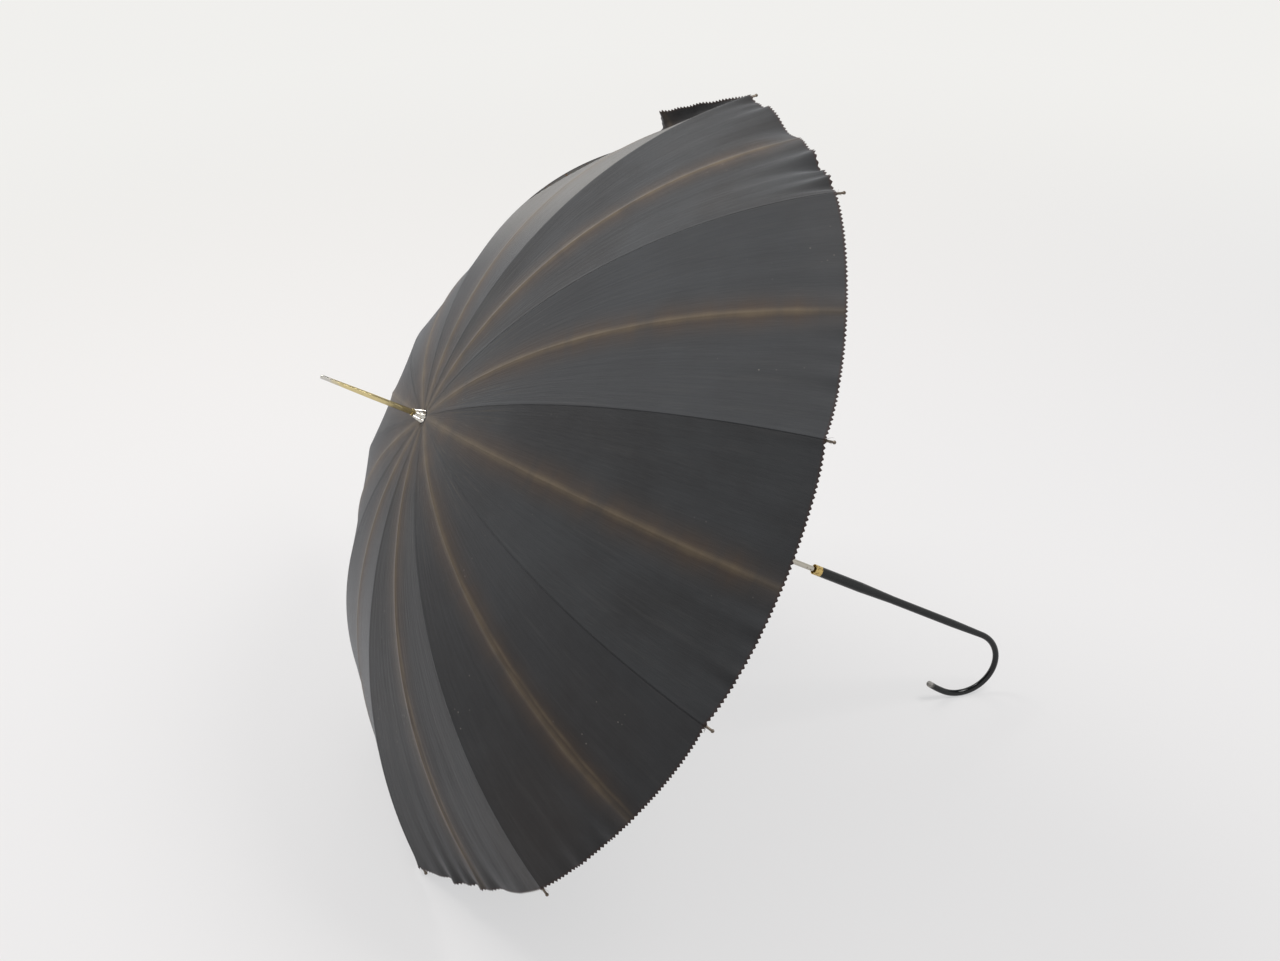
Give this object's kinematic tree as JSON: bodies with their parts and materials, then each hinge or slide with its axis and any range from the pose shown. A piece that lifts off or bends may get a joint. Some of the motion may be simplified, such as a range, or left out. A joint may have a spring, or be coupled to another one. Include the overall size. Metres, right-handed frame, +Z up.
{
  "type": "broken umbrella",
  "caption": "Open stick umbrella with curved ribs and a thin crook handle, lying on two rib tips and the crook, one gore torn off a rib at the rim.",
  "frame": {"origin": "centre of the bounding box's base, on the surface that the umbrella lies on", "axes": "+X is the shaft's plan direction, from the ferrule towards the crook, and +Z is up"},
  "size_m": [0.6898, 0.8124, 0.66],
  "materials": {
    "shaft_steel": "plated, worn",
    "ferrule_brass": "polished, worn to silver towards the end",
    "cup_plate": "bright plated, worn",
    "notch_metal": "cast, dull",
    "wire": "dull",
    "runner_metal": "dull",
    "spring_steel": "dull",
    "collar_brass": "worn",
    "handle_plastic": "black gloss, scuffed at its end",
    "rib_steel": "black, chipped",
    "tip_metal": "tarnished",
    "rivet_metal": "dull",
    "stretcher_steel": "black, chipped",
    "cloth": "thin black plain weave, faded brown at the folds"
  },
  "bodies": {
    "shaft": {"shaft_tube": "shaft_steel", "ferrule": "ferrule_brass", "notch_cup": "cup_plate", "notch": "notch_metal", "notch_wire": "wire", "collar": "collar_brass", "handle": "handle_plastic"},
    "rib_1": {"rib_1": "rib_steel", "tip_1": "tip_metal", "rivet_1": "rivet_metal", "gore_1": "cloth"},
    "rib_2": {"rib_2": "rib_steel", "tip_2": "tip_metal", "rivet_2": "rivet_metal", "gore_2": "cloth"},
    "rib_3": {"rib_3": "rib_steel", "tip_3": "tip_metal", "rivet_3": "rivet_metal", "gore_3": "cloth"},
    "rib_4": {"rib_4": "rib_steel", "tip_4": "tip_metal", "rivet_4": "rivet_metal", "gore_4": "cloth"},
    "rib_5": {"rib_5": "rib_steel", "tip_5": "tip_metal", "rivet_5": "rivet_metal", "gore_5": "cloth"},
    "rib_6": {"rib_6": "rib_steel", "tip_6": "tip_metal", "rivet_6": "rivet_metal", "gore_6": "cloth"},
    "rib_7": {"rib_7": "rib_steel", "tip_7": "tip_metal", "rivet_7": "rivet_metal", "gore_7": "cloth"},
    "rib_8": {"rib_8": "rib_steel", "tip_8": "tip_metal", "rivet_8": "rivet_metal", "gore_8": "cloth"},
    "rib_9": {"rib_9": "rib_steel", "tip_9": "tip_metal", "rivet_9": "rivet_metal", "gore_9": "cloth"},
    "rib_10": {"rib_10": "rib_steel", "tip_10": "tip_metal", "rivet_10": "rivet_metal", "gore_10": "cloth"},
    "stretcher_1": {"stretcher_1": "stretcher_steel"},
    "stretcher_2": {"stretcher_2": "stretcher_steel"},
    "stretcher_3": {"stretcher_3": "stretcher_steel"},
    "stretcher_4": {"stretcher_4": "stretcher_steel"},
    "stretcher_5": {"stretcher_5": "stretcher_steel"},
    "stretcher_6": {"stretcher_6": "stretcher_steel"},
    "stretcher_7": {"stretcher_7": "stretcher_steel"},
    "stretcher_8": {"stretcher_8": "stretcher_steel"},
    "stretcher_9": {"stretcher_9": "stretcher_steel"},
    "stretcher_10": {"stretcher_10": "stretcher_steel"},
    "runner": {"runner": "runner_metal"},
    "top_catch": {"top_catch": "spring_steel"},
    "hand_catch": {"hand_catch": "spring_steel"}
  },
  "joints": [
    {"name": "rib_1_fold", "type": "hinge", "parent": "shaft", "child": "rib_1", "pos_m": [-0.25628, -0.00247, 0.41866], "axis": [0.161, -0.9511, 0.2638], "range_deg": [0, 65], "deforming": ["gore_1"]},
    {"name": "rib_2_fold", "type": "hinge", "parent": "shaft", "child": "rib_2", "pos_m": [-0.25477, -0.00647, 0.42114], "axis": [0.4215, -0.5878, 0.6905], "range_deg": [0, 65], "deforming": ["gore_2"]},
    {"name": "rib_3_fold", "type": "hinge", "parent": "shaft", "child": "rib_3", "pos_m": [-0.25232, -0.008, 0.42515], "axis": [0.521, 0, 0.8535], "range_deg": [0, 65], "deforming": ["gore_3"]},
    {"name": "rib_4_fold", "type": "hinge", "parent": "shaft", "child": "rib_4", "pos_m": [-0.24987, -0.00647, 0.42917], "axis": [0.4215, 0.5878, 0.6905], "range_deg": [0, 65], "deforming": ["gore_4"]},
    {"name": "rib_5_fold", "type": "hinge", "parent": "shaft", "child": "rib_5", "pos_m": [-0.24835, -0.00247, 0.43165], "axis": [0.161, 0.9511, 0.2638], "range_deg": [0, 65], "deforming": ["gore_5"]},
    {"name": "rib_6_fold", "type": "hinge", "parent": "shaft", "child": "rib_6", "pos_m": [-0.24835, 0.00247, 0.43165], "axis": [-0.161, 0.9511, -0.2638], "range_deg": [0, 65], "deforming": ["gore_6"]},
    {"name": "rib_7_fold", "type": "hinge", "parent": "shaft", "child": "rib_7", "pos_m": [-0.24987, 0.00647, 0.42917], "axis": [-0.4215, 0.5878, -0.6905], "range_deg": [0, 65], "deforming": ["gore_7"]},
    {"name": "rib_8_fold", "type": "hinge", "parent": "shaft", "child": "rib_8", "pos_m": [-0.25232, 0.008, 0.42515], "axis": [-0.521, 0, -0.8535], "range_deg": [0, 65], "deforming": ["gore_8"]},
    {"name": "rib_9_fold", "type": "hinge", "parent": "shaft", "child": "rib_9", "pos_m": [-0.25477, 0.00647, 0.42114], "axis": [-0.4215, -0.5878, -0.6905], "range_deg": [0, 65], "deforming": ["gore_9"]},
    {"name": "rib_10_fold", "type": "hinge", "parent": "shaft", "child": "rib_10", "pos_m": [-0.25628, 0.00247, 0.41866], "axis": [-0.161, -0.9511, -0.2638], "range_deg": [0, 65], "deforming": ["gore_10"]},
    {"name": "stretcher_1_fold", "type": "hinge", "parent": "rib_1", "child": "stretcher_1", "pos_m": [-0.32274, -0.06062, 0.24956], "axis": [0.161, -0.9511, 0.2638], "range_deg": [-130, 0]},
    {"name": "stretcher_2_fold", "type": "hinge", "parent": "rib_2", "child": "stretcher_2", "pos_m": [-0.2856, -0.15871, 0.31038], "axis": [0.4215, -0.5878, 0.6905], "range_deg": [-130, 0]},
    {"name": "stretcher_3_fold", "type": "hinge", "parent": "rib_3", "child": "stretcher_3", "pos_m": [-0.22553, -0.19617, 0.4088], "axis": [0.521, 0, 0.8535], "range_deg": [-130, 0]},
    {"name": "stretcher_4_fold", "type": "hinge", "parent": "rib_4", "child": "stretcher_4", "pos_m": [-0.16545, -0.15871, 0.50722], "axis": [0.4215, 0.5878, 0.6905], "range_deg": [-130, 0]},
    {"name": "stretcher_5_fold", "type": "hinge", "parent": "rib_5", "child": "stretcher_5", "pos_m": [-0.12832, -0.06062, 0.56804], "axis": [0.161, 0.9511, 0.2638], "range_deg": [-130, 0]},
    {"name": "stretcher_6_fold", "type": "hinge", "parent": "rib_6", "child": "stretcher_6", "pos_m": [-0.12832, 0.06062, 0.56804], "axis": [-0.161, 0.9511, -0.2638], "range_deg": [-130, 0]},
    {"name": "stretcher_7_fold", "type": "hinge", "parent": "rib_7", "child": "stretcher_7", "pos_m": [-0.16545, 0.15871, 0.50722], "axis": [-0.4215, 0.5878, -0.6905], "range_deg": [-130, 0]},
    {"name": "stretcher_8_fold", "type": "hinge", "parent": "rib_8", "child": "stretcher_8", "pos_m": [-0.22553, 0.19617, 0.4088], "axis": [-0.521, 0, -0.8535], "range_deg": [-130, 0]},
    {"name": "stretcher_9_fold", "type": "hinge", "parent": "rib_9", "child": "stretcher_9", "pos_m": [-0.2856, 0.15871, 0.31038], "axis": [-0.4215, -0.5878, -0.6905], "range_deg": [-130, 0]},
    {"name": "stretcher_10_fold", "type": "hinge", "parent": "rib_10", "child": "stretcher_10", "pos_m": [-0.32274, 0.06062, 0.24956], "axis": [-0.161, -0.9511, -0.2638], "range_deg": [-130, 0]},
    {"name": "runner_slide", "type": "slide", "parent": "shaft", "child": "runner", "axis": [0.8535, 0, -0.521], "range_m": [0, 0.30484]},
    {"name": "top_catch_press", "type": "hinge", "parent": "shaft", "child": "top_catch", "pos_m": [-0.13956, 0.00078, 0.3558], "axis": [0.4512, 0.5, 0.7392], "range_deg": [0, 5], "stiffness_Nm_per_rad": 0.02, "springref_deg": -5.73},
    {"name": "hand_catch_press", "type": "hinge", "parent": "shaft", "child": "hand_catch", "pos_m": [0.12062, 0.00078, 0.19697], "axis": [0.4512, 0.5, 0.7392], "range_deg": [0, 5], "stiffness_Nm_per_rad": 0.02, "springref_deg": -5.73}
  ],
  "couplings": [
    {"joint": "rib_2_fold", "follows": "rib_1_fold", "ratio": 1},
    {"joint": "rib_3_fold", "follows": "rib_1_fold", "ratio": 1},
    {"joint": "rib_4_fold", "follows": "rib_1_fold", "ratio": 1},
    {"joint": "rib_5_fold", "follows": "rib_1_fold", "ratio": 1},
    {"joint": "rib_6_fold", "follows": "rib_1_fold", "ratio": 1},
    {"joint": "rib_7_fold", "follows": "rib_1_fold", "ratio": 1},
    {"joint": "rib_8_fold", "follows": "rib_1_fold", "ratio": 1},
    {"joint": "rib_9_fold", "follows": "rib_1_fold", "ratio": 1},
    {"joint": "rib_10_fold", "follows": "rib_1_fold", "ratio": 1},
    {"joint": "stretcher_1_fold", "follows": "rib_1_fold", "ratio": -2},
    {"joint": "stretcher_2_fold", "follows": "rib_1_fold", "ratio": -2},
    {"joint": "stretcher_3_fold", "follows": "rib_1_fold", "ratio": -2},
    {"joint": "stretcher_4_fold", "follows": "rib_1_fold", "ratio": -2},
    {"joint": "stretcher_5_fold", "follows": "rib_1_fold", "ratio": -2},
    {"joint": "stretcher_6_fold", "follows": "rib_1_fold", "ratio": -2},
    {"joint": "stretcher_7_fold", "follows": "rib_1_fold", "ratio": -2},
    {"joint": "stretcher_8_fold", "follows": "rib_1_fold", "ratio": -2},
    {"joint": "stretcher_9_fold", "follows": "rib_1_fold", "ratio": -2},
    {"joint": "stretcher_10_fold", "follows": "rib_1_fold", "ratio": -2},
    {"joint": "runner_slide", "follows": "rib_1_fold", "m_per_rad": 0.2687}
  ]
}
